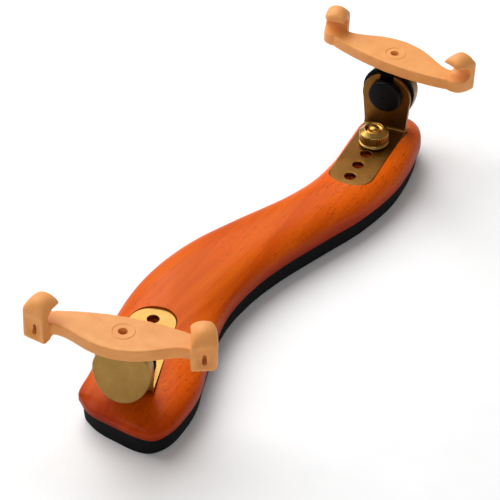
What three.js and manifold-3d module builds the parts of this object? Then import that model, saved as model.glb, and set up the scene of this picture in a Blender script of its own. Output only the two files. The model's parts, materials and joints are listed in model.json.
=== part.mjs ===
// Violin shoulder rest: a crowned, S-shaped wooden board on a foam pad, with an
// adjustable brass foot at each end. Millimetres, +Z up, +Y from the shoulder end
// to the chest end, origin on the ground under the middle of the whole object.
import * as THREE from 'three';
import { mergeVertices } from 'three/addons/utils/BufferGeometryUtils.js';
import Module from 'manifold-3d';

const wasm = await Module();
wasm.setup();

// ---- driving dimensions -------------------------------------------------------

const GAP = 0.3;              // clearance between touching pieces
const SHIFT = [-0.36, 1.46];  // moves the middle of the whole object onto the origin

const PAD_HEIGHT = 8;         // foam pad
const PAD_INSET = 1.4;        // pad outline inside the wood's outline
const PAD_FOOT_INSET = 2.4;   // and again at the pad's softened lower edge
const WOOD_BOTTOM = PAD_HEIGHT + GAP;
const WOOD_EDGE = 2.5;        // straight side of the board
const WOOD_CROWN = 7.4;       // rise of the board above its straight side
const CROWN_POWER = 2.6;      // flat top with rounded shoulders
const END_FALL = 28;          // length over which the crown falls at each end

// centre line of the board: x, y and half width
const SPINE = [
  [-1.8, -97, 19.0], [-3.3, -81, 19.7], [-7.0, -70.5, 19.7], [-14.4, -44.3, 18.3],
  [-15.8, -29.2, 17.4], [-14.2, -12.8, 16.2], [-9.7, 4.0, 14.4], [-0.9, 29.2, 12.6],
  [3.6, 45.7, 12.9], [5.2, 63.5, 13.7], [4.1, 76.2, 13.9], [2.5, 86.0, 13.6],
  [-0.4, 99, 13.0],
];
const TIPS = [[-2.1, -102.8], [-2.2, 108.3]];
const TIP_LENGTH = [15, 17];  // length of the rounded plan at each end
const TIP_POWER = [3.7, 2.0];

const FOOT_TOP = 17.4;        // upper face of a bracket's foot
const PLATE = 1.8;            // brass plate of the bracket
const FOOT_HALF = 8.8;
const FOOT_CORNER = 8;
const HEAD_RADIUS = 10;
const HEAD_RISE = 14.8;       // centre of the bracket's head above the foot
const SLOT_WIDTH = 5.4;
const HOLE_PITCH = 8.1;
const HOLE_RADIUS = 2.2;
const BEND_OUTSIDE = 3;

const HUB_HALF = 10.2;        // half width of the pivot hub
const HUB_DROP = 15;          // hub below the pivot axis
const HUB_RISE = 9.8;         // hub above the pivot axis
const HUB_THICK = 5;
const WASHER = { outer: 10.6, inner: 2.8, thick: 1.2 };
const NUT = { radius: 6.75, thick: 3 };
const STUD_RADIUS = 2.5;
const STEM_RADIUS = 1.5;
const STEM_FOOT = 3.4;        // stem's lower end above the pivot axis
const FORK_RISE = 10.9;       // fork's underside above the pivot axis

const FORK_THICK = 4.8;
const CLAW_WIDTH = 9;
const CLAW_REACH = 27.4;      // claw's middle from the stem axis
const CLAW_TOE = 18;          // degrees that each claw is turned inwards
const CLAW_ROUND = 10.2;      // middle of the claw's round top above the underside
const CORE = { length: 32, width: 7, thick: 1.6, base: 1.6 };

// positions along the bracket, outwards from the stem axis
const UPRIGHT_OUT = -(HUB_THICK / 2 + GAP + WASHER.thick + GAP);
const UPRIGHT_IN = UPRIGHT_OUT - PLATE;
const SCREW_HOLE = UPRIGHT_IN - 12;
const FOOT_END = SCREW_HOLE - 3 * HOLE_PITCH - 5.9;

// the two adjustable feet: where the stem stands, which way the foot points, the
// pivot's height above the bracket's foot, the hub's tilt and the fork's swivel
const ENDS = {
  near: { x: -1.0, y: -96.5, turn: 199.5, pivot: 14.4, tilt: -2, swivel: -2 },
  far: { x: -0.4, y: 96.4, turn: 6.3, pivot: 15.8, tilt: 2, swivel: -9 },
};

// ---- materials -----------------------------------------------------------------

const wood = new THREE.MeshStandardMaterial({ color: 0xe2701f, roughness: 0.22 });
const foam = new THREE.MeshStandardMaterial({ color: 0x0b0b0d, roughness: 0.95 });
const brass = new THREE.MeshStandardMaterial({ color: 0xb98f45, roughness: 0.3, metalness: 1 });
const steel = new THREE.MeshStandardMaterial({ color: 0x9a9a98, roughness: 0.4, metalness: 1 });
const black = new THREE.MeshStandardMaterial({ color: 0x111114, roughness: 0.5 });
const tan = new THREE.MeshStandardMaterial({ color: 0xf0a96c, roughness: 0.6 });

// ---- solids --------------------------------------------------------------------

const rad = THREE.MathUtils.degToRad;

function solid(geometry) {
  const plain = geometry.clone();
  for (const name of Object.keys(plain.attributes)) {
    if (name !== 'position') plain.deleteAttribute(name);
  }
  const merged = mergeVertices(plain, 1e-4);
  return new wasm.Manifold(new wasm.Mesh({
    numProp: 3,
    vertProperties: new Float32Array(merged.attributes.position.array),
    triVerts: new Uint32Array(merged.index.array),
  }));
}

function geometryOf(body) {
  const mesh = body.getMesh();
  const geometry = new THREE.BufferGeometry();
  geometry.setAttribute('position', new THREE.BufferAttribute(mesh.vertProperties, 3));
  geometry.setIndex(new THREE.BufferAttribute(mesh.triVerts, 1));
  geometry.computeVertexNormals();
  return geometry;
}

function named(name, body, material) {
  const mesh = new THREE.Mesh(geometryOf(body), material);
  mesh.name = name;
  return mesh;
}

// plan outline extruded upwards from z0 to z1
function upright(shape, z0, z1, curveSegments = 12) {
  const options = { depth: z1 - z0, bevelEnabled: false, curveSegments };
  const geometry = new THREE.ExtrudeGeometry(shape, options);
  geometry.translate(0, 0, z0);
  return solid(geometry);
}

// outline drawn in X and Z, extruded along Y from y0 to y1
function across(shape, y0, y1, curveSegments = 12) {
  const options = { depth: y1 - y0, bevelEnabled: false, curveSegments };
  const geometry = new THREE.ExtrudeGeometry(shape, options);
  geometry.rotateX(Math.PI / 2);
  geometry.translate(0, y1, 0);
  return solid(geometry);
}

// outline drawn in Y and Z, extruded along X from x0 to x1
function sideways(shape, x0, x1, curveSegments = 8) {
  const options = { depth: x1 - x0, bevelEnabled: false, curveSegments };
  const geometry = new THREE.ExtrudeGeometry(shape, options);
  geometry.rotateX(Math.PI / 2);
  geometry.rotateZ(Math.PI / 2);
  geometry.translate(x0, 0, 0);
  return solid(geometry);
}

function rod(radius, z0, z1, x = 0, y = 0, sides = 24) {
  const geometry = new THREE.CylinderGeometry(radius, radius, z1 - z0, sides);
  geometry.rotateX(Math.PI / 2);
  geometry.translate(x, y, (z0 + z1) / 2);
  return solid(geometry);
}

function axle(radius, y0, y1, z = 0, sides = 32) {
  const geometry = new THREE.CylinderGeometry(radius, radius, y1 - y0, sides);
  geometry.translate(0, (y0 + y1) / 2, z);
  return solid(geometry);
}

function block(x0, x1, y0, y1, z0, z1) {
  const geometry = new THREE.BoxGeometry(x1 - x0, y1 - y0, z1 - z0);
  geometry.translate((x0 + x1) / 2, (y0 + y1) / 2, (z0 + z1) / 2);
  return solid(geometry);
}

// ---- board and pad -------------------------------------------------------------

const spine = new THREE.CatmullRomCurve3([
  new THREE.Vector3(...TIPS[0], SPINE[0][2]),
  ...SPINE.map(([x, y, half]) => new THREE.Vector3(x, y, half)),
  new THREE.Vector3(...TIPS[1], SPINE.at(-1)[2]),
], false, 'centripetal');

// rounded falling-off from 1 to 0 at the end of a length
const roundOff = (distance, length, power) =>
  (1 - (1 - Math.min(distance / length, 1)) ** power) ** (1 / power);

// stations along the spine, close together at the rounded ends
function stations(count, inset = 0) {
  const table = spine.getSpacedPoints(400).map((point) => point.clone());
  const reach = [0];
  for (let i = 1; i < table.length; i += 1) {
    const step = Math.hypot(table[i].x - table[i - 1].x, table[i].y - table[i - 1].y);
    reach.push(reach[i - 1] + step);
  }
  const total = reach.at(-1);
  const length = total - 2 * inset;
  return Array.from({ length: count }, (_, k) => {
    const along = inset + length * (0.5 - 0.4994 * Math.cos((Math.PI * k) / (count - 1)));
    const i = Math.min(reach.findIndex((r) => r >= along), table.length - 1);
    const [a, b] = [table[i - 1], table[i]];
    const f = (along - reach[i - 1]) / (reach[i] - reach[i - 1]);
    const centre = a.clone().lerp(b, f);
    const direction = new THREE.Vector2(b.x - a.x, b.y - a.y).normalize();
    const ends = [along - inset, total - inset - along];
    const plan = ends.reduce((w, d, e) => w * roundOff(d, TIP_LENGTH[e], TIP_POWER[e]), 1);
    const fall = ends.reduce((w, d) => w * roundOff(d, END_FALL, 1.4), 1);
    return { centre, direction, half: centre.z * plan, fall };
  });
}

// one closed body through sections that all have the same number of points
function loft(sections) {
  const points = sections.flat();
  const n = sections[0].length;
  const index = [];
  for (let s = 0; s < sections.length - 1; s += 1) {
    for (let i = 0; i < n; i += 1) {
      const a = s * n + i;
      const b = s * n + ((i + 1) % n);
      index.push(a, b + n, b, a, a + n, b + n);
    }
  }
  const last = (sections.length - 1) * n;
  for (let i = 1; i < n - 1; i += 1) {
    index.push(0, i, i + 1);
    index.push(last, last + i + 1, last + i);
  }
  const geometry = new THREE.BufferGeometry();
  geometry.setAttribute('position', new THREE.Float32BufferAttribute(points.flat(), 3));
  geometry.setIndex(index);
  return solid(geometry);
}

function place({ centre, direction }, u, z) {
  return [centre.x + direction.y * u, centre.y - direction.x * u, z];
}

function woodSection(station) {
  const { half, fall } = station;
  const section = [place(station, -half, WOOD_BOTTOM), place(station, half, WOOD_BOTTOM)];
  const steps = 16;
  for (let i = 0; i <= steps; i += 1) {
    const angle = (Math.PI * i) / steps;
    const u = Math.sign(Math.cos(angle)) * Math.abs(Math.cos(angle)) ** (2 / CROWN_POWER);
    const rise = Math.sin(angle) ** (2 / CROWN_POWER);
    section.push(place(station, half * u, WOOD_BOTTOM + WOOD_EDGE + WOOD_CROWN * fall * rise));
  }
  return section;
}

function padSection(station) {
  const half = Math.max(station.half - PAD_INSET, 0.6);
  const low = Math.max(station.half - PAD_FOOT_INSET, 0.3);
  return [[-low, 0], [low, 0], [half, 2], [half, PAD_HEIGHT], [-half, PAD_HEIGHT], [-half, 2]]
    .map(([u, z]) => place(station, u, z));
}

// ---- pieces of one adjustable foot, around its stem axis ------------------------

function footOutline(grow) {
  const half = FOOT_HALF + grow;
  const corner = FOOT_CORNER + grow;
  const end = FOOT_END - grow;
  const front = UPRIGHT_OUT + grow;
  const shape = new THREE.Shape();
  shape.moveTo(half, front);
  shape.lineTo(-half, front);
  shape.lineTo(-half, end + corner);
  shape.absarc(-half + corner, end + corner, corner, Math.PI, 1.5 * Math.PI);
  shape.absarc(half - corner, end + corner, corner, 1.5 * Math.PI, 2 * Math.PI);
  shape.closePath();
  return shape;
}

const recess = () => upright(footOutline(GAP), FOOT_TOP - PLATE - GAP, 40, 10);

function bracket() {
  const base = FOOT_TOP - PLATE;
  const top = FOOT_TOP + HEAD_RISE + HEAD_RADIUS + 1;
  const side = new THREE.Shape();
  side.moveTo(FOOT_END - 1, base);
  side.lineTo(UPRIGHT_OUT - BEND_OUTSIDE, base);
  side.absarc(UPRIGHT_OUT - BEND_OUTSIDE, base + BEND_OUTSIDE, BEND_OUTSIDE, -Math.PI / 2, 0);
  side.lineTo(UPRIGHT_OUT, top);
  side.lineTo(UPRIGHT_IN, top);
  const inside = BEND_OUTSIDE - PLATE;
  side.absarc(UPRIGHT_IN - inside, FOOT_TOP + inside, inside, 0, -Math.PI / 2, true);
  side.lineTo(FOOT_END - 1, FOOT_TOP);
  side.closePath();

  const head = FOOT_TOP + HEAD_RISE;
  const cheek = rad(-14);
  const front = new THREE.Shape();
  front.moveTo(-FOOT_HALF, base - 1);
  front.lineTo(FOOT_HALF, base - 1);
  front.lineTo(FOOT_HALF, FOOT_TOP + 2.5);
  front.absarc(0, head, HEAD_RADIUS, cheek, Math.PI - cheek);
  front.lineTo(-FOOT_HALF, FOOT_TOP + 2.5);
  front.closePath();

  const plan = footOutline(0);
  const wide = block(-12, 12, UPRIGHT_IN - 4, UPRIGHT_OUT + 1, base - 1, top);
  let body = sideways(side, -12, 12)
    .intersect(across(front, FOOT_END - 2, UPRIGHT_OUT + 1, 14))
    .intersect(upright(plan, base - 1, top, 8).add(wide));
  for (let i = 0; i < 4; i += 1) {
    body = body.subtract(rod(HOLE_RADIUS, base - 1, top, 0, SCREW_HOLE - i * HOLE_PITCH, 20));
  }
  const low = FOOT_TOP + ENDS.near.pivot - GAP;
  body = body.subtract(axle(SLOT_WIDTH / 2, UPRIGHT_IN - 1, UPRIGHT_OUT + 1, low, 24));
  const slot = SLOT_WIDTH / 2;
  return body.subtract(block(-slot, slot, UPRIGHT_IN - 1, UPRIGHT_OUT + 1, low, top));
}

const INSERT = { radius: 3.5, bottom: 9.4, top: FOOT_TOP - PLATE - 2 * GAP };

function threadedInsert() {
  return rod(INSERT.radius, INSERT.bottom, INSERT.top, 0, SCREW_HOLE)
    .subtract(rod(2.2, 0, 30, 0, SCREW_HOLE));
}

function thumbScrew() {
  const seat = FOOT_TOP + GAP;
  const profile = [
    [0, 10.2], [1.6, 10.2], [1.9, 10.6], [1.9, seat], [5.5, seat], [6, seat + 0.6],
    [6, seat + 1.3], [5.6, seat + 1.6], [5.6, seat + 5.1], [5.2, seat + 5.6],
    [3.8, seat + 6.8], [3.4, seat + 6.8], [2.9, seat + 6.2], [2.3, seat + 6.4],
    [1.4, seat + 7.4], [0, seat + 7.8],
  ].map(([r, z]) => new THREE.Vector2(r, z));
  const geometry = new THREE.LatheGeometry(profile, 28);
  geometry.rotateX(Math.PI / 2);
  geometry.translate(0, SCREW_HOLE, 0);
  return solid(geometry);
}

function frictionWasher() {
  const y0 = HUB_THICK / -2 - GAP - WASHER.thick;
  const y1 = HUB_THICK / -2 - GAP;
  return axle(WASHER.outer, y0, y1).subtract(axle(WASHER.inner, y0 - 1, y1 + 1, 0, 24));
}

function clampNut() {
  const y1 = UPRIGHT_IN - GAP;
  const y0 = y1 - NUT.thick;
  return axle(NUT.radius, y0, y1).subtract(axle(STUD_RADIUS + GAP, y0 + 1, y1 + 1, 0, 24));
}

const pivotStud = () => axle(STUD_RADIUS, UPRIGHT_IN - GAP - NUT.thick + 1.3, 1, 0, 24);

function pivotHub() {
  const outline = new THREE.Shape();
  outline.absellipse(0, 0, HUB_HALF, HUB_RISE, 0, Math.PI);
  outline.absellipse(0, 0, HUB_HALF, HUB_DROP, Math.PI, 2 * Math.PI);
  outline.closePath();
  return across(outline, -HUB_THICK / 2, HUB_THICK / 2, 16)
    .subtract(axle(STUD_RADIUS + GAP, -HUB_THICK, 1 + GAP, 0, 24))
    .subtract(rod(STEM_RADIUS + GAP, STEM_FOOT - GAP, 20, 0, 0, 16));
}

const forkStem = () => rod(STEM_RADIUS, STEM_FOOT, FORK_RISE + 3.4, 0, 0, 16);

function forkCore() {
  const half = CORE.length / 2;
  const side = CORE.width / 2;
  const base = FORK_RISE + CORE.base;
  return block(-half, half, -side, side, base, base + CORE.thick)
    .subtract(rod(STEM_RADIUS + GAP, 0, 30, 0, 0, 16));
}

// plan of the fork: nearly straight towards the violin, a belly round the stem outside
function forkPlan() {
  const shape = new THREE.Shape();
  shape.moveTo(-25, -4.2);
  shape.quadraticCurveTo(0, -10.8, 25, -4.2);
  shape.lineTo(25, 3.2);
  shape.bezierCurveTo(17, 1.4, 13, 9.6, 0, 9.6);
  shape.bezierCurveTo(-13, 9.6, -17, 1.4, -25, 3.2);
  shape.closePath();
  return shape;
}

// side view of one claw: Y outwards, Z up from the fork's underside
function clawSide() {
  const shape = new THREE.Shape();
  shape.moveTo(-3.6, 0);
  shape.quadraticCurveTo(1.5, 0, 3.2, -1.6);
  shape.lineTo(5.4, -1.6);
  shape.quadraticCurveTo(7.1, -1.4, 7.1, 0.4);
  shape.lineTo(7.4, 7);
  shape.bezierCurveTo(7.4, 13.2, 4.6, 14.8, 1.8, 14.6);
  shape.bezierCurveTo(-1.2, 14.3, -2.8, 13.5, -2.8, 11.9);
  shape.quadraticCurveTo(-2.8, 10.5, -1.6, 10.5);
  shape.quadraticCurveTo(2.9, 10.9, 3.7, 8.2);
  shape.quadraticCurveTo(4.2, 5.2, 1.2, FORK_THICK);
  shape.lineTo(-3.6, FORK_THICK);
  shape.closePath();
  return shape;
}

// plan of one claw: its outer front corner is well rounded
function clawPlan(hand) {
  const half = hand * CLAW_WIDTH / 2;
  const shape = new THREE.Shape();
  shape.moveTo(-half, -3.6);
  shape.lineTo(-half / 9, -3.6);
  shape.quadraticCurveTo(half, -3.6, half, 1.6);
  shape.lineTo(half, 6.1);
  shape.quadraticCurveTo(half, 7.5, half * 0.7, 7.5);
  shape.lineTo(-half, 7.5);
  shape.closePath();
  return shape;
}

// front view of one claw: a tab with a round top
function clawFront() {
  const half = CLAW_WIDTH / 2;
  const shape = new THREE.Shape();
  shape.moveTo(-half, -3);
  shape.lineTo(half, -3);
  shape.absarc(0, CLAW_ROUND, half, 0, Math.PI);
  shape.closePath();
  return shape;
}

function claw(hand) {
  const half = CLAW_WIDTH / 2;
  return sideways(clawSide(), -half, half, 6)
    .intersect(upright(clawPlan(hand), -4, 20, 6))
    .intersect(across(clawFront(), -6, 10, 12))
    .rotate([0, 0, -hand * CLAW_TOE])
    .translate([hand * CLAW_REACH, -0.6, FORK_RISE]);
}

function forkGrip() {
  const base = FORK_RISE;
  const pocket = CORE.base + CORE.thick + GAP;
  const half = CORE.length / 2 + GAP;
  const side = CORE.width / 2 + GAP;
  return upright(forkPlan(), base, base + FORK_THICK, 12)
    .add(claw(1))
    .add(claw(-1))
    .subtract(block(-half, half, -side, side, base + CORE.base - GAP, base + pocket))
    .subtract(rod(STEM_RADIUS + GAP, 0, base + pocket, 0, 0, 16))
    .subtract(rod(1.6, 0, 40, 0, 0, 16));
}

// ---- assembly --------------------------------------------------------------------

// everything of one foot, in the foot's own frame: stem axis at the origin, +Y outwards
function adjustableFoot(end, { x, y, turn, pivot, tilt, swivel }) {
  const foot = new THREE.Group();
  foot.position.set(x, y, 0);
  foot.rotation.z = rad(turn);
  foot.add(named(`${end}_bracket`, bracket(), brass));
  foot.add(named(`${end}_threaded_insert`, threadedInsert(), brass));
  foot.add(named(`${end}_thumb_screw`, thumbScrew(), brass));

  const axis = new THREE.Group();
  axis.position.z = FOOT_TOP + pivot;
  foot.add(axis);
  axis.add(named(`${end}_friction_washer`, frictionWasher(), black));
  axis.add(named(`${end}_clamp_nut`, clampNut(), black));

  const tilted = new THREE.Group();
  tilted.rotation.y = rad(tilt);
  axis.add(tilted);
  tilted.add(named(`${end}_pivot_stud`, pivotStud(), steel));
  tilted.add(named(`${end}_pivot_hub`, pivotHub(), brass));
  tilted.add(named(`${end}_fork_stem`, forkStem(), steel));

  const fork = new THREE.Group();
  fork.rotation.z = rad(swivel);
  tilted.add(fork);
  fork.add(named(`${end}_fork_core`, forkCore(), steel));
  fork.add(named(`${end}_fork_grip`, forkGrip(), tan));
  return foot;
}

// the same recess and insert bore, cut into the board in the board's frame
function cutForFoot(board, { x, y, turn }) {
  const bore = rod(INSERT.radius + GAP, INSERT.bottom - GAP, 30, 0, SCREW_HOLE);
  return board.subtract(recess().add(bore).rotate([0, 0, turn]).translate([x, y, 0]));
}

function boardWood() {
  const board = loft(stations(64).map(woodSection));
  return Object.values(ENDS).reduce(cutForFoot, board);
}

const rest = new THREE.Group();
rest.name = 'violin_shoulder_rest';
rest.position.set(...SHIFT, 0);
rest.add(named('foam_pad', loft(stations(44, PAD_INSET).map(padSection)), foam));
rest.add(named('board_wood', boardWood(), wood));
for (const [end, setting] of Object.entries(ENDS)) rest.add(adjustableFoot(end, setting));

export default rest;
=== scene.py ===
"""Violin shoulder rest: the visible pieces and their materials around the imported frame.

Shapes are written in millimetres, in each foot's own frame, and placed by the joints
of the frame. MM turns them into metres.
"""
import json
import math

import bmesh
import bpy
import numpy as np
from mathutils import Matrix, Vector


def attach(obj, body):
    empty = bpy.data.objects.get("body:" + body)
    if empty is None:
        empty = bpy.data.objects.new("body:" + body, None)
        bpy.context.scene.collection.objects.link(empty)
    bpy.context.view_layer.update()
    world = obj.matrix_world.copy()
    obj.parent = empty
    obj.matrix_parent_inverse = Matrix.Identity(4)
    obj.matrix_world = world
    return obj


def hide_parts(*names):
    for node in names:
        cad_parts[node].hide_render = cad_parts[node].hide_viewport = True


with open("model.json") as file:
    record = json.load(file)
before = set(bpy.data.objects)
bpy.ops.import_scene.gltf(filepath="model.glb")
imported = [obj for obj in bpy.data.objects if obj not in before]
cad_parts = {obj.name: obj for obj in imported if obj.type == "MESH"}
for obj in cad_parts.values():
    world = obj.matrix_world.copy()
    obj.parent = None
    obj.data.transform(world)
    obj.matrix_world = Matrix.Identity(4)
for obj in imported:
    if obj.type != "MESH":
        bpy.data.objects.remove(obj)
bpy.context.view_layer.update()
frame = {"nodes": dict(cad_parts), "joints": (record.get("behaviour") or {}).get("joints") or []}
JOINTS = {joint["name"]: joint for joint in frame["joints"]}

MM = 0.001
ENDS = ("near", "far")

# ---- dimensions, the same as the frame's ----------------------------------------

SHIFT = (-0.36, 1.46)
PAD_HEIGHT = 8.0
PAD_INSET = 1.4
PAD_FOOT_INSET = 2.4
WOOD_BOTTOM = 8.3
WOOD_EDGE = 2.5
WOOD_CROWN = 7.4
CROWN_POWER = 2.6
END_FALL = 28.0
SPINE = (
    (-1.8, -97, 19.0), (-3.3, -81, 19.7), (-7.0, -70.5, 19.7), (-14.4, -44.3, 18.3),
    (-15.8, -29.2, 17.4), (-14.2, -12.8, 16.2), (-9.7, 4.0, 14.4), (-0.9, 29.2, 12.6),
    (3.6, 45.7, 12.9), (5.2, 63.5, 13.7), (4.1, 76.2, 13.9), (2.5, 86.0, 13.6),
    (-0.4, 99, 13.0),
)
TIPS = ((-2.1, -102.8), (-2.2, 108.3))
TIP_LENGTH = (15.0, 17.0)
TIP_POWER = (3.7, 2.0)

FOOT_TOP = 17.4
PLATE = 1.8
FOOT_HALF = 8.8
FOOT_CORNER = 8.0
HEAD_RADIUS = 10.0
HEAD_RISE = 14.8
SLOT_WIDTH = 5.4
SLOT_RISE = 14.1
HOLE_RADIUS = 2.2
HOLE_PITCH = 8.1
HOLE_COUNT = 4
BEND_RADIUS = 2.1              # at the middle of the plate
UPRIGHT_OUT = -4.3
UPRIGHT_IN = -6.1
SCREW_HOLE = -18.1
FOOT_END = -48.3

GAP = 0.3                      # between pieces that touch
INSERT_RADIUS = 3.5
INSERT_BOTTOM = 9.4
INSERT_TOP = 15.0
STUD_RADIUS = 2.5
NUT_RADIUS = 6.75
NUT_THICK = 3.0
WASHER_OUT = -4.0
WASHER_IN = -2.8
WASHER_RADIUS = 10.6

HUB_HALF = 10.2
HUB_DROP = 15.0
HUB_RISE = 9.8
HUB_THICK = 5.0
FORK_RISE = 10.9
FORK_THICK = 4.8
CLAW_WIDTH = 9.0
CLAW_REACH = 27.4
CLAW_TOE = 18.0
CLAW_ROUND = 10.2              # middle of a claw's round top
CLAW_FRONT = -3.6              # inner end of a claw's side view
CLAW_BACK = 7.5
CLAW_HEEL = 1.6                # how far a claw reaches below its fork
CLAW_CORNER = 2.4
CLAW_SCOOP = 1.7
STEM_RADIUS = 1.5
SWIVEL = {"near": -2.0, "far": -9.0}


# ---- frames of the feet ------------------------------------------------------------

def frame_from(origin, x_axis, y_axis, z_axis):
    """Matrix from a frame in millimetres with these axes to the row frame in metres."""
    turn = Matrix((x_axis, y_axis, z_axis)).transposed().to_4x4()
    return Matrix.Translation(origin) @ turn @ Matrix.Scale(MM, 4)


def foot_frames(end):
    """Frames of one foot: on the ground, round the pivot, tilted with the hub, fork."""
    tilt = JOINTS[f"{end}_tilt"]
    stem = JOINTS[f"{end}_fork_turn"]
    pivot = Vector(stem["pos_m"])
    outward = Vector(tilt["axis"]).normalized()
    up = Vector((0, 0, 1))
    along = outward.cross(up)
    ground = frame_from(Vector((pivot.x, pivot.y, 0)), along, outward, up)
    axis = frame_from(pivot, along, outward, up)
    stem_up = Vector(stem["axis"]).normalized()
    tilted = frame_from(pivot, outward.cross(stem_up), outward, stem_up)
    fork = tilted @ Matrix.Rotation(math.radians(SWIVEL[end]), 4, "Z")
    return {"ground": ground, "axis": axis, "tilted": tilted, "fork": fork}


# ---- mesh helpers --------------------------------------------------------------------

def new_object(name, mesh):
    piece = bpy.data.objects.new(name, mesh)
    bpy.context.scene.collection.objects.link(piece)
    return piece


def object_from(name, vertices, faces):
    mesh = bpy.data.meshes.new(name)
    mesh.from_pydata([tuple(v) for v in vertices], [], faces)
    mesh.validate()
    bm = bmesh.new()
    bm.from_mesh(mesh)
    bmesh.ops.recalc_face_normals(bm, faces=bm.faces)
    bm.to_mesh(mesh)
    bm.free()
    return new_object(name, mesh)


def apply_modifiers(piece):
    """Replaces the piece's mesh by its evaluated one."""
    graph = bpy.context.evaluated_depsgraph_get()
    mesh = bpy.data.meshes.new_from_object(piece.evaluated_get(graph))
    piece.modifiers.clear()
    piece.data = mesh
    return piece


def smooth(piece, angle=35):
    piece.data.shade_smooth()
    piece.data.set_sharp_from_angle(angle=math.radians(angle))


def cut(piece, cutters, operation="DIFFERENCE"):
    for cutter in cutters:
        boolean = piece.modifiers.new("cut", "BOOLEAN")
        boolean.operation = operation
        boolean.solver = "EXACT"
        boolean.object = cutter
    bpy.context.view_layer.update()
    apply_modifiers(piece)
    for cutter in cutters:
        bpy.data.objects.remove(cutter)
    return piece


def grid_faces(rows, columns):
    """Quads between rows of points, each row a closed loop, with caps on both ends."""
    faces = []
    for r in range(rows - 1):
        for c in range(columns):
            d = (c + 1) % columns
            faces.append((r * columns + c, r * columns + d,
                          (r + 1) * columns + d, (r + 1) * columns + c))
    faces.append(tuple(range(columns)))
    faces.append(tuple(range((rows - 1) * columns, rows * columns)))
    return faces


def loft(name, rows):
    """Closed body through rows of points."""
    vertices = [point for row in rows for point in row]
    return object_from(name, vertices, grid_faces(len(rows), len(rows[0])))


def turned_ring(name, profile, sides, place):
    """Body of revolution with a bore: its profile closes on itself."""
    angles = [2 * math.pi * k / sides for k in range(sides)]
    rows = [[place(radius * math.cos(a), radius * math.sin(a), level) for a in angles]
            for radius, level in profile]
    faces = grid_faces(len(rows), sides)[:-2]
    last = (len(rows) - 1) * sides
    faces += [(last + k, last + (k + 1) % sides, (k + 1) % sides, k) for k in range(sides)]
    return object_from(name, [point for row in rows for point in row], faces)


def prism(name, outline, low, high, place):
    """Outline in two directions, extruded between two levels; place makes 3-D points."""
    rows = [[place(a, b, level) for a, b in outline] for level in (low, high)]
    return loft(name, rows)


def lathe(name, profile, sides=96, axis="Z", wave=None):
    """Body of revolution; wave(r, h, angle) may change the radius."""
    def point(radius, height, angle):
        r = wave(radius, height, angle) if wave else radius
        x, y = r * math.cos(angle), r * math.sin(angle)
        return (x, y, height) if axis == "Z" else (x, height, y)

    rows = []
    for radius, height in profile:
        rows.append([point(radius, height, 2 * math.pi * i / sides) for i in range(sides)])
    return loft(name, rows)


def arc(cx, cy, radius, start, end, steps=12, ry=None):
    """Points of an arc, angles in degrees."""
    points = []
    for i in range(steps + 1):
        a = math.radians(start + (end - start) * i / steps)
        points.append((cx + radius * math.cos(a), cy + (ry or radius) * math.sin(a)))
    return points


def bezier(points, steps=10):
    """Points of a quadratic or cubic curve, without its first point."""
    n = len(points) - 1
    result = []
    for i in range(1, steps + 1):
        t = i / steps
        weights = [math.comb(n, k) * t ** k * (1 - t) ** (n - k) for k in range(n + 1)]
        result.append(tuple(sum(w * p[d] for w, p in zip(weights, points)) for d in (0, 1)))
    return result


def outline_body(name, loops, thickness, bevel, resolution=3):
    """Flat body with rounded edges from closed outlines; holes are outlines inside."""
    curve = bpy.data.curves.new(name, "CURVE")
    curve.dimensions = "2D"
    curve.fill_mode = "BOTH"
    curve.extrude = thickness / 2 - bevel
    curve.bevel_depth = bevel
    curve.bevel_resolution = resolution
    curve.offset = -bevel
    for loop in loops:
        spline = curve.splines.new("POLY")
        spline.points.add(len(loop) - 1)
        for point, (x, y) in zip(spline.points, loop):
            point.co = (x, y, 0, 1)
        spline.use_cyclic_u = True
    holder = new_object(name, curve)
    bpy.context.view_layer.update()
    graph = bpy.context.evaluated_depsgraph_get()
    mesh = bpy.data.meshes.new_from_object(holder.evaluated_get(graph))
    bpy.data.objects.remove(holder)
    bm = bmesh.new()
    bm.from_mesh(mesh)
    bmesh.ops.remove_doubles(bm, verts=bm.verts, dist=1e-4)
    bmesh.ops.recalc_face_normals(bm, faces=bm.faces)
    bm.to_mesh(mesh)
    bm.free()
    return new_object(name, mesh)


def settle(piece, matrix, body, material, nodes, angle=35, flat=False):
    """Puts a piece in the row frame, gives it its material and ties it to its body."""
    piece.data.transform(matrix)
    if matrix.determinant() < 0:
        piece.data.flip_normals()
    smooth(piece, angle)
    if flat:
        weigh = piece.modifiers.new("flat", "WEIGHTED_NORMAL")
        weigh.keep_sharp = True
        weigh.weight = 100
        apply_modifiers(piece)
    piece.data.materials.clear()
    piece.data.materials.append(material)
    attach(piece, body)
    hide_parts(*nodes)
    return piece


# ---- material helpers ------------------------------------------------------------------

def srgb(red, green, blue):
    """Linear colour from one given in 0 to 255."""
    def linear(value):
        c = value / 255
        return c / 12.92 if c <= 0.04045 else ((c + 0.055) / 1.055) ** 2.4
    return (linear(red), linear(green), linear(blue), 1.0)


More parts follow.
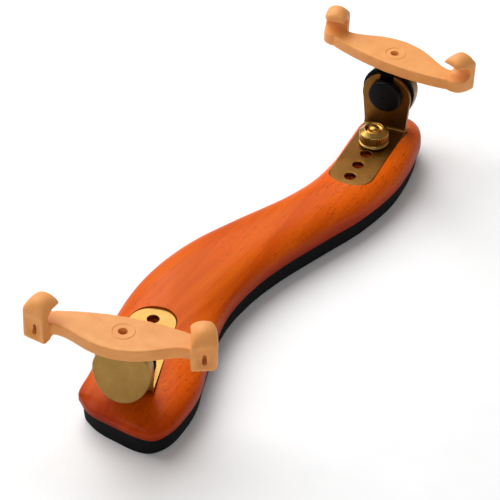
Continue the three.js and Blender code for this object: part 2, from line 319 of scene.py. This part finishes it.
class Nodes:
    """A node material being built."""

    def __init__(self, name):
        self.material = bpy.data.materials.new(name)
        self.material.use_nodes = True
        self.tree = self.material.node_tree
        self.shader = self.tree.nodes["Principled BSDF"]
        self.place = self.add("ShaderNodeTexCoord").outputs["Object"]

    def add(self, kind, **settings):
        node = self.tree.nodes.new(kind)
        for key, value in settings.items():
            setattr(node, key, value)
        return node

    def link(self, source, target):
        self.tree.links.new(source, target)

    def stretched(self, scale, rotation=(0, 0, 0)):
        mapping = self.add("ShaderNodeMapping")
        mapping.inputs["Scale"].default_value = scale
        mapping.inputs["Rotation"].default_value = rotation
        self.link(self.place, mapping.inputs["Vector"])
        return mapping.outputs["Vector"]

    def noise(self, scale, detail=4.0, roughness=0.55, vector=None, distortion=0.0):
        node = self.add("ShaderNodeTexNoise")
        node.inputs["Scale"].default_value = scale
        node.inputs["Detail"].default_value = detail
        node.inputs["Roughness"].default_value = roughness
        node.inputs["Distortion"].default_value = distortion
        self.link(vector or self.place, node.inputs["Vector"])
        return node.outputs["Fac"]

    def ramp(self, source, stops):
        node = self.add("ShaderNodeValToRGB")
        elements = node.color_ramp.elements
        while len(elements) < len(stops):
            elements.new(0.5)
        for element, (position, colour) in zip(elements, stops):
            element.position = position
            element.color = colour
        self.link(source, node.inputs["Fac"])
        return node.outputs["Color"]

    def mix(self, factor, one, two, blend="MIX"):
        node = self.add("ShaderNodeMix", data_type="RGBA", blend_type=blend)
        for value, socket in ((factor, node.inputs[0]), (one, node.inputs[6]),
                              (two, node.inputs[7])):
            if isinstance(value, bpy.types.NodeSocket):
                self.link(value, socket)
            else:
                socket.default_value = value
        return node.outputs[2]

    def span(self, source, low, high, start=0.0, stop=1.0):
        node = self.add("ShaderNodeMapRange")
        node.inputs["From Min"].default_value = start
        node.inputs["From Max"].default_value = stop
        node.inputs["To Min"].default_value = low
        node.inputs["To Max"].default_value = high
        self.link(source, node.inputs["Value"])
        return node.outputs["Result"]

    def bump(self, height, distance, strength=1.0, normal=None):
        node = self.add("ShaderNodeBump")
        node.inputs["Distance"].default_value = distance
        node.inputs["Strength"].default_value = strength
        self.link(height, node.inputs["Height"])
        if normal:
            self.link(normal, node.inputs["Normal"])
        return node.outputs["Normal"]

    def set(self, **values):
        for key, value in values.items():
            socket = self.shader.inputs[key.replace("_", " ")]
            if isinstance(value, bpy.types.NodeSocket):
                self.link(value, socket)
            else:
                socket.default_value = value
        return self.material


def grey(value):
    return (value, value, value, 1.0)


def wood_material():
    """Orange varnish over straight, fine-pored grain that runs along the board, with painted
    shade darker towards its bottom.
    """
    n = Nodes("varnished_wood")
    drift = n.noise(14, 3, 0.5)
    grain = n.noise(1.0, 6, 0.6, n.stretched((620, 26, 620)), 0.3)
    bands = n.noise(1.0, 3, 0.55, n.stretched((95, 9, 95)), 0.6)
    pores = n.noise(1.0, 3, 0.6, n.stretched((2300, 330, 2300)))
    patches = n.noise(1.0, 2, 0.5, n.stretched((34, 16, 34)))
    colour = n.ramp(grain, ((0.30, srgb(214, 84, 2)), (0.52, srgb(232, 98, 4)),
                            (0.74, srgb(244, 114, 10))))
    tone = n.ramp(bands, ((0.32, srgb(196, 66, 0)), (0.68, srgb(248, 122, 16))))
    colour = n.mix(0.5, colour, tone)
    shade = n.ramp(patches, ((0.3, grey(0.76)), (0.7, grey(1.0))))
    colour = n.mix(1.0, colour, shade, "MULTIPLY")
    wander = n.ramp(drift, ((0.35, srgb(250, 226, 206)), (0.65, grey(1.0))))
    colour = n.mix(0.6, colour, wander, "MULTIPLY")
    pore = n.ramp(pores, ((0.34, grey(0.8)), (0.42, grey(0.0))))
    pore = n.mix(1.0, pore, n.ramp(patches, ((0.42, grey(0.15)), (0.58, grey(0.8)))), "MULTIPLY")
    colour = n.mix(pore, colour, srgb(136, 36, 2))
    # Painted shade: the varnish colour darkens towards the bottom of the board, standing in for
    # the shade on its low sides and ends.
    height = n.add("ShaderNodeSeparateXYZ")
    n.link(n.place, height.inputs["Vector"])
    depth = n.ramp(n.span(height.outputs["Z"], 0.0, 1.0, 0.0082, 0.0165),
                   ((0.0, srgb(170, 110, 62)), (0.4, srgb(205, 166, 140)), (0.85, grey(1.0))))
    colour = n.mix(1.0, colour, depth, "MULTIPLY")
    normal = n.bump(pores, 0.00003, 0.18)
    n.set(Base_Color=colour, Roughness=n.span(grain, 0.36, 0.48), Normal=normal)
    return n.set(Specular_IOR_Level=0.06, Coat_Weight=0.08, Coat_Roughness=0.07, Coat_IOR=1.4)


def foam_material():
    """Black closed-cell foam with a fine skin of cut cells."""
    n = Nodes("black_foam")
    cells = n.add("ShaderNodeTexVoronoi")
    cells.inputs["Scale"].default_value = 2600
    n.link(n.place, cells.inputs["Vector"])
    cell = cells.outputs["Distance"]
    soft = n.noise(300, 3)
    colour = n.ramp(soft, ((0.3, srgb(6, 6, 9)), (0.7, srgb(13, 13, 17))))
    normal = n.bump(cell, 0.00012, 0.5)
    normal = n.bump(soft, 0.0002, 0.25, normal)
    return n.set(Base_Color=colour, Roughness=n.span(cell, 0.78, 0.96), Normal=normal,
                 Specular_IOR_Level=0.18)


def brass_material(name, dark, light, low, high, brushed, far_tint):
    """Satin brass with fine tooling lines, handling marks and darker mottling towards the far
    end.
    """
    n = Nodes(name)
    lines = n.noise(1.0, 4, 0.6, n.stretched(brushed))
    cloud = n.noise(120, 5, 0.6)
    marks = n.noise(700, 3, 0.5)
    colour = n.ramp(cloud, ((0.3, dark), (0.7, light)))
    colour = n.mix(n.span(marks, 0.0, 0.35), colour, srgb(140, 92, 34))
    streak = n.ramp(lines, ((0.3, grey(0.90)), (0.7, grey(1.0))))
    colour = n.mix(1.0, colour, streak, "MULTIPLY")
    # Darker, mottled colour towards the far end of the board (+Y).
    along = n.add("ShaderNodeSeparateXYZ")
    n.link(n.place, along.inputs["Vector"])
    far_mottle = n.ramp(n.noise(95, 4, 0.65), ((0.35, grey(0.7)), (0.65, grey(1.0))))
    far_mottle = n.mix(1.0, far_mottle, far_tint, "MULTIPLY")
    far = n.span(along.outputs["Y"], 0.0, 1.0, -0.02, 0.03)
    colour = n.mix(far, colour, n.mix(1.0, colour, far_mottle, "MULTIPLY"))
    normal = n.bump(lines, 0.00002, 0.25)
    return n.set(Base_Color=colour, Metallic=1.0, Roughness=n.span(cloud, low, high),
                 Normal=normal)


def black_material(name, roughness, coat):
    """Black moulded plastic: faint blue-black drift and a fine mould texture."""
    n = Nodes(name)
    drift = n.noise(260, 3)
    grain = n.noise(2400, 2)
    colour = n.ramp(drift, ((0.3, srgb(3, 4, 6)), (0.7, srgb(8, 9, 13))))
    normal = n.bump(grain, 0.00003, 0.3)
    n.set(Specular_IOR_Level=0.1)
    return n.set(Base_Color=colour, Roughness=n.span(grain, roughness, roughness + 0.14),
                 Normal=normal, Coat_Weight=coat, Coat_Roughness=0.25)


def steel_material():
    """Plated steel with turning lines."""
    n = Nodes("plated_steel")
    lines = n.noise(1.0, 4, 0.6, n.stretched((300, 300, 5200)))
    cloud = n.noise(240, 4)
    colour = n.ramp(cloud, ((0.3, srgb(150, 148, 142)), (0.7, srgb(190, 188, 182))))
    normal = n.bump(lines, 0.00002, 0.3)
    return n.set(Base_Color=colour, Metallic=1.0, Roughness=n.span(cloud, 0.28, 0.45),
                 Normal=normal)


def rubber_material():
    """Semi-matt tan rubber, moulded, with mild flow marks and a fine surface."""
    n = Nodes("tan_rubber")
    flow = n.noise(1.0, 4, 0.5, n.stretched((60, 110, 160)), 1.2)
    speck = n.noise(1800, 2, 0.5)
    dirt = n.noise(210, 4, 0.6)
    colour = n.ramp(flow, ((0.3, srgb(226, 150, 78)), (0.7, srgb(234, 162, 92))))
    tint = n.ramp(dirt, ((0.25, srgb(244, 232, 222)), (0.6, grey(1.0))))
    colour = n.mix(0.6, colour, tint, "MULTIPLY")
    normal = n.bump(speck, 0.00003, 0.35)
    normal = n.bump(dirt, 0.00008, 0.12, normal)
    n.set(Base_Color=colour, Roughness=n.span(speck, 0.42, 0.56), Normal=normal)
    n.set(Subsurface_Weight=0.12, Subsurface_Scale=0.002)
    n.shader.inputs["Subsurface Radius"].default_value = (1.0, 0.45, 0.2)
    return n.set(Specular_IOR_Level=0.3)


wood = wood_material()
foam = foam_material()
plate_brass = brass_material("satin_brass", srgb(150, 118, 60), srgb(172, 136, 76),
                             0.3, 0.42, (90, 1500, 90), srgb(226, 210, 192))
turned_brass = brass_material("turned_brass", srgb(196, 150, 74), srgb(224, 184, 104),
                              0.24, 0.34, (160, 160, 2600), grey(1.0))
nut_black = black_material("nut_black", 0.36, 0.02)
washer_black = black_material("washer_black", 0.55, 0.0)
steel = steel_material()
rubber = rubber_material()


# ---- board and pad -------------------------------------------------------------------

def round_off(distance, length, power):
    return (1 - (1 - min(distance / length, 1)) ** power) ** (1 / power)


def centripetal(points, steps):
    """Centripetal Catmull-Rom curve through points, with many points per stretch."""
    points = [np.array(p, float) for p in points]
    points = [2 * points[0] - points[1], *points, 2 * points[-1] - points[-2]]
    curve = []
    for p0, p1, p2, p3 in zip(points, points[1:], points[2:], points[3:]):
        gaps = [np.linalg.norm(b - a) ** 0.5 for a, b in ((p0, p1), (p1, p2), (p2, p3))]
        d0, d1, d2 = gaps
        out = ((p1 - p0) / d0 - (p2 - p0) / (d0 + d1) + (p2 - p1) / d1) * d1
        into = ((p2 - p1) / d1 - (p3 - p1) / (d1 + d2) + (p3 - p2) / d2) * d1
        for i in range(steps):
            t = i / steps
            a, b = 2 * t ** 3 - 3 * t ** 2 + 1, t ** 3 - 2 * t ** 2 + t
            c, d = -2 * t ** 3 + 3 * t ** 2, t ** 3 - t ** 2
            curve.append(a * p1 + b * out + c * p2 + d * into)
    curve.append(points[-2])
    return np.array(curve)


SPINE_CURVE = centripetal(
    [(*TIPS[0], SPINE[0][2]), *SPINE, (*TIPS[1], SPINE[-1][2])], 40)


def stations(count, inset=0.0):
    """Centre, direction, half width and crown factor along the board."""
    steps = np.linalg.norm(np.diff(SPINE_CURVE[:, :2], axis=0), axis=1)
    reach = np.concatenate(([0], np.cumsum(steps)))
    total = reach[-1]
    result = []
    for k in range(count):
        f = 0.5 - 0.4994 * math.cos(math.pi * k / (count - 1))
        along = inset + (total - 2 * inset) * f
        centre = [np.interp(along, reach, SPINE_CURVE[:, d]) for d in range(3)]
        ahead = [np.interp(along + 0.5, reach, SPINE_CURVE[:, d]) for d in (0, 1)]
        behind = [np.interp(along - 0.5, reach, SPINE_CURVE[:, d]) for d in (0, 1)]
        direction = Vector((ahead[0] - behind[0], ahead[1] - behind[1])).normalized()
        ends = (along - inset, total - inset - along)
        plan = math.prod(round_off(d, TIP_LENGTH[e], TIP_POWER[e])
                         for e, d in enumerate(ends))
        fall = math.prod(round_off(d, END_FALL, 1.4) for d in ends)
        result.append((centre, direction, centre[2] * plan, fall))
    return result


def board_point(station, across, height):
    (x, y, _), direction = station[0], station[1]
    return ((x + SHIFT[0] + direction.y * across) * MM,
            (y + SHIFT[1] - direction.x * across) * MM, height * MM)


def wood_row(station):
    _, _, half, fall = station
    lip = min(0.45, half * 0.3)
    row = [board_point(station, -half + lip, WOOD_BOTTOM),
           board_point(station, half - lip, WOOD_BOTTOM)]
    for i in range(1, 5):
        a = math.pi / 2 * i / 4
        row.append(board_point(station, half - lip + lip * math.sin(a),
                               WOOD_BOTTOM + lip * (1 - math.cos(a))))
    steps = 56
    for i in range(steps + 1):
        a = math.pi * i / steps
        u = math.copysign(abs(math.cos(a)) ** (2 / CROWN_POWER), math.cos(a))
        rise = WOOD_CROWN * fall * math.sin(a) ** (2 / CROWN_POWER)
        row.append(board_point(station, half * u, WOOD_BOTTOM + WOOD_EDGE + rise))
    for i in range(4, 0, -1):
        a = math.pi / 2 * i / 4
        row.append(board_point(station, -half + lip - lip * math.sin(a),
                               WOOD_BOTTOM + lip * (1 - math.cos(a))))
    return row


def pad_row(station):
    half = max(station[2] - PAD_INSET, 0.6)
    low = max(station[2] - PAD_FOOT_INSET, 0.3)
    side = []
    for i in range(9):
        a = math.pi / 2 * i / 8
        side.append((low + (half - low) * math.sin(a), 1.6 * (1 - math.cos(a))))
    for i in range(1, 8):
        bulge = 0.22 * math.sin(math.pi * i / 8)
        side.append((half + bulge, 1.6 + (PAD_HEIGHT - 2.2) * i / 8))
    for i in range(7):
        a = math.pi / 2 * i / 6
        inset = min(0.6, half * 0.5)
        side.append((half - inset + inset * math.cos(a), PAD_HEIGHT - 0.6 + 0.6 * math.sin(a)))
    row = [board_point(station, u, z) for u, z in side]
    return row + [board_point(station, -u, z) for u, z in reversed(side)]


def foot_outline(grow):
    half, corner, end = FOOT_HALF + grow, FOOT_CORNER + grow, FOOT_END - grow
    front = UPRIGHT_OUT + grow
    return [(half, front), (-half, front),
            *arc(-half + corner, end + corner, corner, 180, 270, 16),
            *arc(half - corner, end + corner, corner, 270, 360, 16)]


def board(frames):
    piece = loft("varnished_board", [wood_row(s) for s in stations(190)])
    cutters = []
    for end in ENDS:
        def place(x, y, z, ground=frames[end]["ground"]):
            return ground @ Vector((x, y, z))

        floor = FOOT_TOP - PLATE - GAP
        above, pilot_bottom = 40, 11.5
        cutters.append(prism("recess", foot_outline(GAP), floor, above, place))
        for i in range(HOLE_COUNT):
            hole = arc(0, SCREW_HOLE - i * HOLE_PITCH, HOLE_RADIUS - 0.2, 0, 345, 23)
            bottom = INSERT_BOTTOM if i == 0 else pilot_bottom
            cutters.append(prism("hole", hole, bottom, floor + 1, place))
    cut(piece, cutters)
    nodes = ("board_wood",)
    return settle(piece, Matrix.Identity(4), "root", wood, nodes, 32)


def pad():
    piece = loft("foam_sole", [pad_row(s) for s in stations(150, PAD_INSET)])
    settle(piece, Matrix.Identity(4), "root", foam, ("foam_pad",), 60)
    return piece


# ---- pieces of a foot ------------------------------------------------------------------

def bend_plate(piece):
    """Bends the flat bracket: its pattern's second coordinate runs along the plate."""
    bend = math.pi / 2 * BEND_RADIUS
    corner = UPRIGHT_OUT - PLATE / 2 - BEND_RADIUS
    bm = bmesh.new()
    bm.from_mesh(piece.data)
    for i in range(13):
        everything = [*bm.verts, *bm.edges, *bm.faces]
        bmesh.ops.bisect_plane(bm, geom=everything, dist=1e-5, plane_no=(0, 1, 0),
                               plane_co=(0, corner + bend * i / 12, 0))
    middle = FOOT_TOP - PLATE / 2
    for vertex in bm.verts:
        x, s, t = vertex.co
        turned = min(max((s - corner) / BEND_RADIUS, 0), math.pi / 2)
        beyond = max(s - corner - bend, 0)
        radius = BEND_RADIUS - t
        y = min(s, corner) + radius * math.sin(turned)
        z = middle + BEND_RADIUS - radius * math.cos(turned) + beyond
        vertex.co = (x, y, z)
    bmesh.ops.recalc_face_normals(bm, faces=bm.faces)
    bm.to_mesh(piece.data)
    bm.free()


def bracket(end, frames):
    """Brass angle plate: a round-ended foot with holes and a slotted round head."""
    bend = math.pi / 2 * BEND_RADIUS
    corner = UPRIGHT_OUT - PLATE / 2 - BEND_RADIUS
    to_flat = corner + bend - (FOOT_TOP - PLATE / 2 + BEND_RADIUS)
    head = FOOT_TOP + HEAD_RISE + to_flat
    slot_low = FOOT_TOP + SLOT_RISE + to_flat
    waist = FOOT_TOP + 2.5 + to_flat
    half_slot = SLOT_WIDTH / 2
    horn = math.degrees(math.acos(half_slot / HEAD_RADIUS))
    outline = [*arc(-FOOT_HALF + FOOT_CORNER, FOOT_END + FOOT_CORNER, FOOT_CORNER, 180, 270, 20),
               *arc(FOOT_HALF - FOOT_CORNER, FOOT_END + FOOT_CORNER, FOOT_CORNER, 270, 360, 20),
               (FOOT_HALF, waist), *arc(0, head, HEAD_RADIUS, -14, horn, 30),
               *arc(0, slot_low, half_slot, 0, -180, 16),
               *arc(0, head, HEAD_RADIUS, 180 - horn, 194, 30), (-FOOT_HALF, waist)]
    holes = [arc(0, SCREW_HOLE - i * HOLE_PITCH, HOLE_RADIUS, 0, 352.5, 47)
             for i in range(HOLE_COUNT)]
    piece = outline_body(f"{end}_bracket_plate", [outline, *holes], PLATE, 0.22)
    bend_plate(piece)
    return settle(piece, frames["ground"], "root", plate_brass,
                  (f"{end}_bracket",), 30, flat=True)


def insert(end, frames):
    """Threaded brass bush sunk in the wood under the screw's hole."""
    bore, radius, bottom, top, pitch = 2.25, INSERT_RADIUS, INSERT_BOTTOM, INSERT_TOP, 0.9
    profile = [(bore, bottom), (radius - 0.3, bottom), (radius, bottom + 0.3)]
    for i in range(5):
        level = bottom + 0.9 + i * pitch
        profile += [(radius, level), (radius - 0.2, level + 0.3), (radius, level + 0.6)]
    profile += [(radius - 0.3, top), (bore, top)]
    piece = turned_ring(f"{end}_insert_bush", profile, 48,
                        lambda x, y, z: (x, SCREW_HOLE + y, z))
    return settle(piece, frames["ground"], "root", turned_brass,
                  (f"{end}_threaded_insert",))


def thumb_screw(end, frames):
    """Turned brass screw: plain collar, fluted side, sloping top with a round boss."""
    seat = FOOT_TOP + GAP
    flutes = 34

    def flute(radius, height, angle):
        inside = seat + 1.7 < height < seat + 5.0 and radius > 5
        wave = 0.5 - 0.5 * math.cos(flutes * angle)
        return radius - 0.36 * wave ** 2 if inside else radius

    profile = [(0.01, 10.2), (1.5, 10.2), (1.9, 10.6), (1.9, seat), (5.3, seat),
               *arc(5.4, seat + 0.6, 0.6, -80, 80, 8), (5.35, seat + 1.5), (5.75, seat + 1.72)]
    profile += [(5.78, seat + 1.9 + 0.3 * i) for i in range(11)]
    profile += [*arc(5.3, seat + 5.15, 0.45, -10, 50, 8), (4.0, seat + 6.7),
                *arc(3.75, seat + 6.62, 0.25, 50, 150, 6), (3.3, seat + 6.2),
                (2.75, seat + 5.85), (2.45, seat + 6.0), (2.3, seat + 6.3),
                *arc(0, seat + 6.3, 2.25, 10, 89.5, 14, 1.4)]
    piece = lathe(f"{end}_thumb_knob", profile, 272, wave=flute)
    piece.data.transform(Matrix.Translation((0, SCREW_HOLE, 0)))
    return settle(piece, frames["ground"], f"{end}_screw", turned_brass,
                  (f"{end}_thumb_screw",), 28)


def washer(end, frames):
    """Black fibre washer with rounded rims."""
    bore, edge = 2.8, 0.25
    low, high, rim = WASHER_OUT, WASHER_IN, WASHER_RADIUS - edge
    profile = [(bore, low), *arc(rim, low + edge, edge, -90, 0, 5),
               *arc(rim, high - edge, edge, 0, 90, 5), (bore, high)]
    piece = turned_ring(f"{end}_washer_disc", profile, 128, lambda x, z, y: (x, y, z))
    return settle(piece, frames["axis"], f"{end}_washer", washer_black,
                  (f"{end}_friction_washer",))


def nut(end, frames):
    """Round black clamp nut with a softly domed face and a small centre dimple."""
    inner, outer, radius = UPRIGHT_IN - GAP, UPRIGHT_IN - GAP - NUT_THICK, NUT_RADIUS
    dome = 0.55
    profile = [(0.01, outer + 0.62), (0.35, outer + 0.58), (0.6, outer + 0.3),
               (0.85, outer + 0.02)]
    profile += [(r, outer + dome * (r / radius) ** 3) for r in (1.6, 2.6, 3.6, 4.4, 5.1)]
    profile += [*arc(radius - 1, inner - 1.65, 1.0, -75, 0, 9, 1.05), (radius, inner - 0.35),
                *arc(radius - 0.3, inner - 0.3, 0.3, 0, 90, 4), (0.01, inner)]
    piece = lathe(f"{end}_nut_knob", profile, 128, axis="Y")
    return settle(piece, frames["axis"], f"{end}_nut", nut_black,
                  (f"{end}_clamp_nut",))


def threaded(name, radius, start, end, pitch, depth, axis):
    """Rod with a helical thread and chamfered ends."""
    sides, per_turn = 40, 8
    count = int((end - start) / pitch * per_turn)
    rows = []
    for j in range(count + 1):
        level = start + (end - start) * j / count
        edge = min(level - start, end - level)
        row = []
        for i in range(sides):
            phase = (level / pitch - i / sides) % 1
            r = radius - depth * abs(2 * phase - 1)
            r = min(r, radius - 0.45 + edge) if edge < 0.45 else r
            a = 2 * math.pi * i / sides
            x, y = r * math.cos(a), r * math.sin(a)
            row.append((x, y, level) if axis == "Z" else (x, level, y))
        rows.append(row)
    return loft(name, rows)


def hub(end, frames):
    """Round brass hub, drawn out downwards, held on the pivot stud."""
    outline = [*arc(0, 0, HUB_HALF, 0, 180, 72, HUB_RISE),
               *arc(0, 0, HUB_HALF, 180, 360, 72, HUB_DROP)[1:-1]]
    piece = outline_body(f"{end}_hub_block", [outline], HUB_THICK, 0.55, 4)
    stand = Matrix.Rotation(math.pi / 2, 4, "X")
    piece.data.transform(stand)
    return settle(piece, frames["tilted"], f"{end}_hub", plate_brass,
                  (f"{end}_pivot_hub",), 30, flat=True)


def claw_side():
    """Side view of a claw: outwards and up from the fork's underside."""
    points = [(CLAW_FRONT, 0)]
    points += bezier([(CLAW_FRONT, 0), (1.5, 0), (3.2, -CLAW_HEEL)], 8)
    points += [(5.4, -CLAW_HEEL)]
    points += bezier([(5.4, -CLAW_HEEL), (7.1, -1.4), (7.1, 0.4)], 6)
    points += [(7.1 + 0.3 * i / 10, 0.4 + 6.6 * i / 10) for i in range(1, 11)]
    points += bezier([(7.4, 7), (7.4, 13.2), (4.6, 14.8), (1.8, 14.6)], 14)
    points += bezier([(1.8, 14.6), (-1.2, 14.3), (-2.8, 13.5), (-2.8, 11.9)], 10)
    points += bezier([(-2.8, 11.9), (-2.8, 10.5), (-1.6, 10.5)], 5)
    points += bezier([(-1.6, 10.5), (2.9, 10.9), (3.7, 8.2)], 8)
    points += bezier([(3.7, 8.2), (4.2, 5.2), (1.2, FORK_THICK)], 8)
    points += [(CLAW_FRONT, FORK_THICK)]
    return points


def rounded(distance, radius):
    """How far a corner of this radius has drawn in, a distance past the start of its arc."""
    share = max(distance, 0) / radius
    return radius * (1 - math.sqrt(max(1 - share ** 2, 0)))


def claw_frame(hand):
    """Places a claw at its end of the fork, toed in."""
    toe = Matrix.Rotation(math.radians(-hand * CLAW_TOE), 4, "Z")
    return Matrix.Translation((hand * CLAW_REACH, -0.6, FORK_RISE)) @ toe


def claw(hand):
    """One claw: a hook with a round top, a round outer corner and a scooped back."""
    half = CLAW_WIDTH / 2
    slices = 33
    rows = []
    for k in range(slices):
        u = -half + CLAW_WIDTH * k / (slices - 1)
        round_top = math.sqrt(max(1 - (u / half) ** 2, 0))
        outer = max(hand * u + 0.5, 0) / (half + 0.5)
        front = CLAW_FRONT + 5.2 * (1 - math.sqrt(max(1 - outer ** 2, 0)))
        corner = rounded(hand * u - half + CLAW_CORNER, CLAW_CORNER)
        row = []
        for y, z in claw_side():
            if y > 5.5 and z > -0.2:
                hollow = math.exp(-(u / 2.7) ** 4) * math.exp(-((z - 4.6) / 4.0) ** 4)
                y -= CLAW_SCOOP * hollow
            if z > CLAW_ROUND:
                z = CLAW_ROUND + (z - CLAW_ROUND) * round_top
            y = min(max(y, front), CLAW_BACK - corner)
            row.append((u, y, max(z, corner - CLAW_HEEL)))
        rows.append(row)
    piece = loft("claw", rows)
    piece.data.transform(claw_frame(hand))
    return piece


def claw_slot(hand):
    """Cutter for the small upright slot in a claw's back."""
    outline = [*arc(0, 4.5, 0.6, 0, 180, 8), *arc(0, 1.9, 0.85, 180, 360, 10)]
    bottom, open_end = 2.9, 12
    matrix = claw_frame(hand)
    return prism("slot", outline, bottom, open_end, lambda x, z, y: matrix @ Vector((x, y, z)))


def fork_plan():
    points = [(-25, -4.2), *bezier([(-25, -4.2), (0, -10.8), (25, -4.2)], 40), (25, 3.2)]
    points += bezier([(25, 3.2), (17, 1.4), (13, 9.6), (0, 9.6)], 30)
    return points + bezier([(0, 9.6), (-13, 9.6), (-17, 1.4), (-25, 3.2)], 30)


def join(pieces, name):
    bm = bmesh.new()
    for piece in pieces:
        bm.from_mesh(piece.data)
        bpy.data.objects.remove(piece)
    mesh = bpy.data.meshes.new(name)
    bm.to_mesh(mesh)
    bm.free()
    return new_object(name, mesh)


def fork(end, frames):
    """Tan rubber fork: plate, two claws moulded in one, a ring round the stem's hole."""
    def flat(x, y, z):
        return (x, y, z)

    plate = prism("plate", fork_plan(), FORK_RISE, FORK_RISE + FORK_THICK, flat)
    piece = join([plate, claw(1), claw(-1)], f"{end}_fork_rubber")
    remesh = piece.modifiers.new("remesh", "REMESH")
    remesh.mode = "VOXEL"
    remesh.voxel_size = 0.34
    soften = piece.modifiers.new("soften", "SMOOTH")
    soften.factor = 0.5
    soften.iterations = 9
    apply_modifiers(piece)
    top = FORK_RISE + FORK_THICK
    ring = lathe("ring", [(3.35, top - 0.6), (3.5, top), (3.62, top + 0.14), (3.85, top + 0.18),
                          (4.08, top + 0.14), (4.2, top), (4.35, top - 0.6)], 96)
    cut(piece, [ring], "UNION")
    hole = lathe("hole", [(1.6, top - 3.2), (1.6, top - 0.2), (1.75, top + 0.05),
                          (2.1, top + 1)], 64)
    stem = lathe("stem", [(1.75, FORK_RISE - 1), (1.75, top - 3.2)], 48)
    cut(piece, [hole, stem, claw_slot(1), claw_slot(-1)])
    return settle(piece, frames["fork"], f"{end}_fork", rubber,
                  (f"{end}_fork_grip",), 42)


def foot(end, frames):
    bracket(end, frames)
    insert(end, frames)
    thumb_screw(end, frames)
    washer(end, frames)
    nut(end, frames)
    hub(end, frames)
    fork(end, frames)
    stud = threaded(f"{end}_stud_thread", STUD_RADIUS, UPRIGHT_IN - 2.0, 1.0, 0.8, 0.35, "Y")
    settle(stud, frames["tilted"], f"{end}_hub", steel, (f"{end}_pivot_stud",))
    stem = threaded(f"{end}_stem_thread", STEM_RADIUS, 3.4, 12.9, 0.5, 0.22, "Z")
    settle(stem, frames["tilted"], f"{end}_stem", steel, (f"{end}_fork_stem",))
    core = frame["nodes"][f"{end}_fork_core"]
    core.data.materials.clear()
    core.data.materials.append(steel)


# ---- stage, light and camera ---------------------------------------------------------

def stage_floor():
    n = Nodes("pale_floor")
    paper = n.noise(60, 3)
    colour = n.ramp(paper, ((0.3, grey(0.93)), (0.7, grey(0.95))))
    material = n.set(Base_Color=colour, Roughness=0.9, Specular_IOR_Level=0.1)
    size = 6.0
    vertices = [(-size, -size, 0), (size, -size, 0), (size, size, 0), (-size, size, 0)]
    floor = object_from("floor", vertices, [(0, 1, 2, 3)])
    floor.data.materials.append(material)


def area_light(name, place, target, size, power):
    data = bpy.data.lights.new(name, "AREA")
    data.shape = "RECTANGLE"
    data.size, data.size_y = size
    data.energy = power
    lamp = bpy.data.objects.new(name, data)
    bpy.context.scene.collection.objects.link(lamp)
    lamp.location = place
    aim = Vector(target) - Vector(place)
    lamp.rotation_euler = aim.to_track_quat("-Z", "Y").to_euler()


def lights():
    middle = (0, 0, 0.01)
    area_light("key", (-0.7, 0.2, 1.0), middle, (1.3, 1.3), 19)
    area_light("back", (-0.3, 0.42, 0.48), middle, (0.3, 0.3), 0.6)
    area_light("fill", (0.5, -0.9, 0.5), middle, (0.8, 0.6), 2.0)
    world = bpy.data.worlds.new("studio")
    world.use_nodes = True
    background = world.node_tree.nodes["Background"]
    background.inputs["Color"].default_value = (1, 1, 1, 1)
    background.inputs["Strength"].default_value = 0.26
    bpy.context.scene.world = world
    bpy.context.scene.view_settings.view_transform = "Standard"


def camera():
    """The view: from above the near end's right, with a long lens."""
    azimuth, elevation = math.radians(30.7), math.radians(38.5)
    distance = 0.79
    target = Vector((-9.47 * MM, 2.16 * MM, 12 * MM))
    back = Vector((math.sin(azimuth) * math.cos(elevation),
                   -math.cos(azimuth) * math.cos(elevation), math.sin(elevation)))
    data = bpy.data.cameras.new("camera")
    data.sensor_width = 36
    data.lens = 151.9
    eye = bpy.data.objects.new("camera", data)
    bpy.context.scene.collection.objects.link(eye)
    eye.location = target + back * distance
    eye.rotation_euler = (-back).to_track_quat("-Z", "Y").to_euler()
    bpy.context.scene.camera = eye


FRAMES = {end: foot_frames(end) for end in ENDS}
pad()
board(FRAMES)
for end in ENDS:
    foot(end, FRAMES[end])
stage_floor()
lights()
camera()
